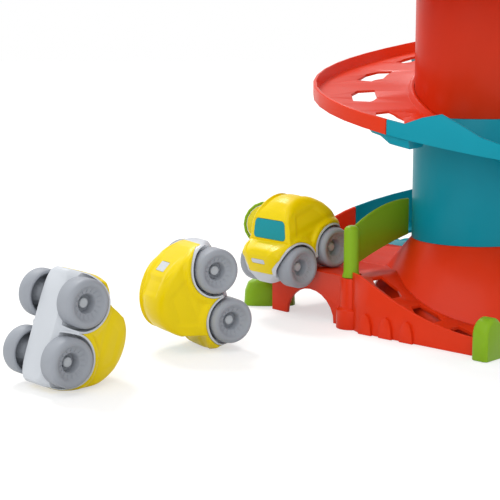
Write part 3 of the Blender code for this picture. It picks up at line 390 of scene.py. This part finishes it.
def side_relief(x, z):
    """Height of the detail on the flanks: sunk windows, drip rail, waist line and the rear fender's bead."""
    drip_rail = inside(z, 0.0496, 0.0512, 0.0005) * inside(x, -0.026, 0.013, 0.002)
    waist_line = inside(z, 0.0248, 0.0262, 0.0007) * inside(x, -0.036, 0.030, 0.003)
    off_rear = math.hypot(x + wheelbase / 2, z)
    bead = inside(off_rear, arch_r + 0.0030, arch_r + 0.0062, 0.0014) * eased(0.008, 0.016, z)
    return 0.0004 * drip_rail + 0.0005 * waist_line + 0.0009 * bead - 0.0008 * in_side_window(x, z)


def shell_relief(place, facing):
    """Height of the moulded detail at a point of the shell."""
    x, y, z = place
    off_middle = abs(y)
    on_side = eased(0.55, 0.80, abs(facing.y))
    on_crown = eased(0.45, 0.75, facing.z)
    on_tail = eased(0.35, 0.60, -facing.x)
    on_bonnet = eased(0.3, 0.6, facing.z)
    rear_window = inside(z, 0.0440, 0.0545) * inside(off_middle, -1.0, 0.0125)
    off_tail_lamp = ((x + 0.036) / 0.0085) ** 2 + ((off_middle - 0.0175) / 0.0050) ** 2
    tail_lamp = (1 - eased(0.1, 1.0, off_tail_lamp)) * eased(0.2, 0.5, z / 0.05)
    rib_pitch = 0.0052
    ribs = (0.5 + 0.5 * math.cos(2 * math.pi * (x + 0.004) / rib_pitch)) ** 3
    roof_ribs = ribs * inside(x, -0.018, 0.010, 0.001) * inside(off_middle, -1.0, 0.012, 0.001)
    bonnet_panel = inside(x, 0.0325, 0.0445, 0.0012) * inside(off_middle, -1.0, 0.0125, 0.0015)
    height = on_side * side_relief(x, z) - 0.0014 * on_tail * rear_window + 0.0014 * tail_lamp
    return height + 0.0003 * on_crown * roof_ribs + 0.0007 * on_bonnet * bonnet_panel


def drums(radius, inner_y, outer_y, x, steps=64):
    """Two round bars along Y, one on each side of the car, through an axle line."""
    turns = [2 * math.pi * (i + 0.5) / steps for i in range(steps)]
    outline = [(x + radius * math.cos(turn), radius * math.sin(turn)) for turn in turns]
    shape = bmesh.new()
    for low, high in ((-outer_y, -inner_y), (inner_y, outer_y)):
        near = [shape.verts.new((along, low, z)) for along, z in outline]
        away = [shape.verts.new((along, high, z)) for along, z in outline]
        shape.faces.new(near)
        shape.faces.new(list(reversed(away)))
        for i in range(steps):
            j = (i + 1) % steps
            shape.faces.new((near[j], near[i], away[i], away[j]))
    bmesh.ops.recalc_face_normals(shape, faces=shape.faces)
    mesh = bpy.data.meshes.new("drums")
    shape.to_mesh(mesh)
    shape.free()
    return mesh


def slab(half_length, half_width, low, high):
    """A plain block about the middle of the car, for cutting."""
    corners = ((-half_length, -half_width), (half_length, -half_width), (half_length, half_width),
               (-half_length, half_width))
    return skin([[(x, y, z) for x, y in corners] for z in (low, high)])


def inset_place(label):
    """Middle and lean of a plate that is let into the shell, from the crown's stops."""
    if label == "windscreen":
        middle = screen_foot.lerp(screen_head, 0.52)
        return middle, math.atan2(screen_foot.x - screen_head.x, screen_head.y - screen_foot.y)
    if label == "front_plate":
        return Vector((car_nose, 0.0132)), 0.0
    upper, lower = [Vector(stop) for stop in crown_stops() if stop[0] < -0.030][:2]
    return upper.lerp(lower, 0.5), math.pi - math.atan2(upper.x - lower.x, upper.y - lower.y)


inset_sizes = {
    "windscreen": (0.046, 0.019, 0.0016, 0.88, 0.0042),
    "front_plate": (0.018, 0.0045, 0.0014, 1.0, 0.0012),
    "rear_plate": (0.014, 0.010, 0.0014, 1.0, 0.0008),
}


def inset_plate(label, front, grow=0.0):
    """A thin plate with round corners, or the seat that it lies in."""
    width, height, thick, taper, corner = inset_sizes[label]
    middle, lean = inset_place(label)
    corner_rows = 8
    outline = []
    for first_deg, sign_y, sign_z in ((0, 1, 1), (90, -1, 1), (180, -1, -1), (270, 1, -1)):
        for k in range(corner_rows + 1):
            turn = math.radians(first_deg + 90 * k / corner_rows)
            z = sign_z * (height / 2 - corner) + (corner + grow) * math.sin(turn)
            narrow = 1 - (1 - taper) * (z / height + 0.5)
            outline.append((sign_y * (width / 2 - corner) * narrow + (corner + grow) * math.cos(turn), z))
    soft = 0.0002
    back = 0.0005 - thick - grow
    rings = [
        [(back, y, z) for y, z in outline],
        [(front - soft, y, z) for y, z in outline],
        [(front, y * (1 - soft / width * 2), z * (1 - soft / height * 2)) for y, z in outline],
    ]
    mesh = skin(rings)
    mesh.transform(Matrix.Translation((middle.x, 0, middle.y)) @ Matrix.Rotation(-lean, 4, "Y"))
    return mesh


def lamp_balls():
    """Round lamp bulges at the nose's corners."""
    lamp_r = 0.0062
    lamp_x, lamp_y, lamp_z = 0.0395, 0.0215, 0.0165
    shape = bmesh.new()
    for y in (-lamp_y, lamp_y):
        ball = bmesh.ops.create_uvsphere(shape, u_segments=28, v_segments=18, radius=lamp_r)["verts"]
        bmesh.ops.translate(shape, verts=ball, vec=(lamp_x, y, lamp_z))
    mesh = bpy.data.meshes.new("lamps")
    shape.to_mesh(mesh)
    shape.free()
    return mesh


def shell_mesh():
    """The whole shell of one car."""
    mesh = skin([shell_ring(station.x, station.y) for station in crown_line(6)])
    moves = [vertex.normal * shell_relief(vertex.co, vertex.normal) for vertex in mesh.vertices]
    for vertex, move in zip(mesh.vertices, moves):
        vertex.co += move
    steps = [("UNION", lamp_balls())]
    for x in (wheelbase / 2, -wheelbase / 2):
        arches = drums(arch_r + arch_rim + fit_gap, arch_inner_y - fit_gap, past_side, x)
        steps.append(("DIFFERENCE", arches))
    seat_top_z = saddle_top_z + fit_gap
    seat = slab(saddle_half_length + fit_gap, saddle_half_width + fit_gap, saddle_cut_z, seat_top_z)
    steps.append(("DIFFERENCE", seat))
    past_front = 0.012
    for label in inset_sizes:
        steps.append(("DIFFERENCE", inset_plate(label, past_front, grow=fit_gap)))
    return carved(mesh, steps)


yellow = moulded("yellow_plastic", (0.840, 0.640, 0.0), 0.36)
shell = shell_mesh()
for car in cars:
    seat_on_car(car + "_body_shell", shell, yellow, car, car, car + "_shell")


# Windscreens and plates.
# Thin flat panels pushed into seats in the shell. The windscreen is bare.

white = moulded("white_plastic", (0.590, 0.620, 0.660), 0.38, shade=0.96)
screen = moulded("screen_plastic", (0.0, 0.290, 0.350), 0.30)
panel_proud = 0.0002
for label, finish, slot in (("windscreen", screen, "screen"), ("front_plate", white, "white"),
                            ("rear_plate", white, "white")):
    panel = inset_plate(label, panel_proud)
    panel.shade_smooth()
    panel.set_sharp_from_angle(angle=math.radians(30))
    for car in cars:
        seat_on_car(f"{car}_{label}_panel", panel, finish, car, car, f"{car}_{label}")


# Underbodies, one white moulding a car.
# A tray with a raised saddle over the axles and a liner round each wheel. The liner's lip frames the arch as
# a white band.

tray_top = car_sill_z - fit_gap
belly_z = -0.0115


def car_outline(half_length, grow, steps=48):
    """The car's plan outline, grown by a margin at its sides."""
    side = []
    for i in range(steps + 1):
        x = -half_length * math.cos(math.pi * i / steps)
        side.append((x, car_side * plan_share(x) + grow))
    return side + [(x, -y) for x, y in reversed(side)]


def tray_loft(plan, levels):
    """Lofts a plan outline through levels of (height, share of its length, share of its width)."""
    return skin([[(x * along, y * across, z) for x, y in plan] for z, along, across in levels])


def underbody_mesh():
    """The whole underbody of one car."""
    liner_wall = 0.0012
    lip_proud = 0.0006
    bore_from = -0.010
    belly = [
        (belly_z, 0.92, 0.47), (belly_z + 0.0008, 0.955, 0.51), (belly_z + 0.0030, 0.98, 0.57),
        (belly_z + 0.0060, 1.0, 0.70), (belly_z + 0.0088, 1.0, 0.86), (belly_z + 0.0106, 1.0, 0.96),
        (tray_top, 1.0, 1.0),
    ]
    tray = tray_loft(car_outline(car_nose, -0.001), belly)
    steps = [("UNION", slab(saddle_half_length, saddle_half_width, tray_top - 0.002, saddle_top_z))]
    axles = (wheelbase / 2, -wheelbase / 2)
    for x in axles:
        liner = drums(arch_r + arch_rim, arch_inner_y, car_side + arch_rim * 2, x)
        steps.append(("UNION", liner))
    limit = tray_loft(car_outline(car_nose - 0.0005, lip_proud), belly + [(roof_z, 1.0, 1.0)])
    steps.append(("INTERSECT", limit))
    for x in axles:
        steps.append(("DIFFERENCE", drums(arch_r, arch_inner_y + liner_wall, past_side, x)))
        steps.append(("DIFFERENCE", drums(axle_bore, bore_from, past_side, x, 24)))
    return carved(tray, steps, 30)


underbody = underbody_mesh()
for car in cars:
    seat_on_car(car + "_underbody", underbody, white, car, car, car + "_chassis")


# Wheels, four to a car.
# Each is one grey moulding, pressed onto its axle: a round-shouldered rim, a dished face with short radial
# ticks, a deep funnel for the axle's head, and a hollow back with a boss.

wheel_r = 0.020
wheel_half = 0.009
wheel_steps = 96
tick_every = 6
tick_sunk = 0.0007
tick_from = 0.0096
tick_to = 0.0124


def wheel_profile():
    """Closed outline of the wheel as (radius, outward) points: funnel, face, shoulder and hollow back."""
    rows = [(axle_bore, -0.0030), (0.0072, -0.0030), (0.0079, 0.0034), (0.0086, 0.0044)]
    rows += [(0.0094, 0.0047), (0.0097, 0.0048), (0.0123, 0.0060), (0.0126, 0.0062)]
    rows += [(0.0134, 0.0068), (0.0141, 0.0078), (0.0150, 0.0085)]
    shoulder = 0.0042
    shoulder_rows = 6
    for i in range(1, shoulder_rows + 1):
        turn = math.radians(90 - 90 * i / shoulder_rows)
        radius = wheel_r - shoulder + shoulder * math.cos(turn)
        rows.append((radius, wheel_half - 0.0002 - shoulder * (1 - math.sin(turn))))
    rows += [(wheel_r, -wheel_half + 0.0010), (wheel_r - 0.0010, -wheel_half)]
    rows += [(wheel_r - 0.0022, -wheel_half), (wheel_r - 0.0030, -wheel_half + 0.0008)]
    rows += [(0.0169, -0.0030), (0.0158, -0.0004), (0.0132, 0.0004), (0.0114, -0.0012)]
    rows += [(0.0102, -0.0040), (0.0086, -0.0062), (0.0060, -0.0080), (axle_bore, -0.0087)]
    return rows


def wheel_mesh():
    """One wheel about the Y axis, its face towards +Y."""
    rings = []
    for i in range(wheel_steps):
        turn = 2 * math.pi * i / wheel_steps
        ring = []
        for radius, out in wheel_profile():
            ticked = i % tick_every == 0 and tick_from < radius < tick_to
            depth = out - tick_sunk if ticked else out
            ring.append((radius * math.cos(turn), depth, radius * math.sin(turn)))
        rings.append(ring)
    mesh = skin(rings, closed=True)
    mesh.shade_smooth()
    mesh.set_sharp_from_angle(angle=math.radians(48))
    return mesh


wheel_grey = moulded("wheel_plastic", (0.330, 0.352, 0.390), 0.46, coat=0.0)
wheel = wheel_mesh()
for car in cars:
    for end, x in (("front", wheelbase / 2), ("rear", -wheelbase / 2)):
        for side, sign in (("left", 1), ("right", -1)):
            place = Matrix.Translation((x, sign * gauge / 2, 0))
            if sign < 0:
                place = place @ Matrix.Rotation(math.pi, 4, "Z")
            body = f"{car}_{end}_wheelset"
            node = f"{car}_{end}_{side}_wheel"
            name = f"{car}_{end}_{side}_moulded_wheel"
            seat_on_car(name, wheel, wheel_grey, car, body, node, place)


# Axles, two to a car.
# A plain pin through the saddle, in a paler grey. A flat round head is pressed on at each end and shows deep
# in the wheel's funnel.

def axle_mesh():
    """One pin about the Y axis with its two heads."""
    seat = gauge / 2 - 0.0030 + fit_gap
    head = seat + 0.0030
    pin_r = 0.0030
    head_r = 0.0042
    half = [(pin_r, seat), (head_r, seat), (head_r, head - 0.0010), (head_r - 0.0003, head - 0.0003),
            (head_r - 0.0010, head)]
    profile = [(radius, -out) for radius, out in reversed(half)] + half
    steps = 48
    turns = [2 * math.pi * i / steps for i in range(steps)]
    mesh = skin([[(radius * math.cos(turn), out, radius * math.sin(turn)) for turn in turns]
                 for radius, out in profile])
    mesh.shade_smooth()
    mesh.set_sharp_from_angle(angle=math.radians(50))
    return mesh


axle_grey = moulded("axle_plastic", (0.520, 0.550, 0.580), 0.40, coat=0.0)
axle = axle_mesh()
for car in cars:
    for end, x in (("front", wheelbase / 2), ("rear", -wheelbase / 2)):
        place = Matrix.Translation((x, 0, 0))
        body = f"{car}_{end}_wheelset"
        node = f"{car}_{end}_axle"
        seat_on_car(f"{car}_{end}_headed_pin", axle, axle_grey, car, body, node, place)


# Floor, backdrop light and camera of the studio.
# A pale floor that keeps the shadows, under one broad soft lamp from behind on the left and a weaker one in
# front. The floor and the sky look white to the camera.

def seen(paint):
    """1 where a ray comes from the camera, a reflection or clear plastic."""
    path = paint.node("ShaderNodeLightPath", {}, {})
    return path["Is Camera Ray"] + path["Is Glossy Ray"] + path["Is Transmission Ray"]


floor_half = 9.0
floor_corners = [(-floor_half, -floor_half, 0), (floor_half, -floor_half, 0), (floor_half, floor_half, 0),
                 (-floor_half, floor_half, 0)]
floor_mesh = bpy.data.meshes.new("studio_floor")
floor_mesh.from_pydata(floor_corners, [], [(0, 1, 2, 3)])
floor = bpy.data.objects.new("studio_floor", floor_mesh)
bpy.context.scene.collection.objects.link(floor)
floor.location.z = -0.0004
paper = bpy.data.materials.new("floor_paper")
floor_paint = Paint(paper)
bounce = floor_paint.node("ShaderNodeBsdfDiffuse", {}, {"Color": (0.80, 0.80, 0.80, 1.0)})
floor_paint.surface(Base_Color=(0.50, 0.50, 0.49, 1.0), Roughness=1.0, Specular_IOR_Level=0.0)
floor_paint.surface(Emission_Color=(1.0, 1.0, 1.0, 1.0), Emission_Strength=0.56)
look = floor_paint.node("ShaderNodeMixShader", {}, {
    0: seen(floor_paint),
    1: bounce["BSDF"],
    2: Wire(floor_paint, floor_paint.shader.outputs["BSDF"]),
})
floor_paint.feed(floor_paint.tree.nodes["Material Output"].inputs["Surface"], look["Shader"])
floor_mesh.materials.append(paper)

world = bpy.data.worlds.new("studio")
bpy.context.scene.world = world
sky = Paint(world)
light_level = 0.72
sky_back = world.node_tree.nodes["Background"]
sky_back.inputs["Color"].default_value = (1.0, 1.0, 1.0, 1.0)
sky.feed(sky_back.inputs["Strength"], seen(sky) * (1.0 - light_level) + light_level)

for label, strength, size_deg, tilt in (
    ("key_lamp", 1.55, 18.0, (38.0, 0.0, 205.0)),
    ("front_lamp", 1.05, 60.0, (52.0, 0.0, -28.0)),
):
    lamp_data = bpy.data.lights.new(label, "SUN")
    lamp_data.energy = strength
    lamp_data.angle = math.radians(size_deg)
    lamp = bpy.data.objects.new(label, lamp_data)
    lamp.rotation_euler = [math.radians(angle) for angle in tilt]
    bpy.context.scene.collection.objects.link(lamp)

camera_data = bpy.data.cameras.new("camera")
camera_data.lens = 96.3
camera_data.sensor_width = 36.0
camera = bpy.data.objects.new("camera", camera_data)
camera.location = (-0.219, -1.300, 0.287)
camera_dip_deg = 9.59
camera.rotation_euler = (math.radians(90.0 - camera_dip_deg), 0.0, 0.0)
bpy.context.scene.collection.objects.link(camera)
bpy.context.scene.camera = camera
bpy.context.scene.view_settings.view_transform = "Standard"
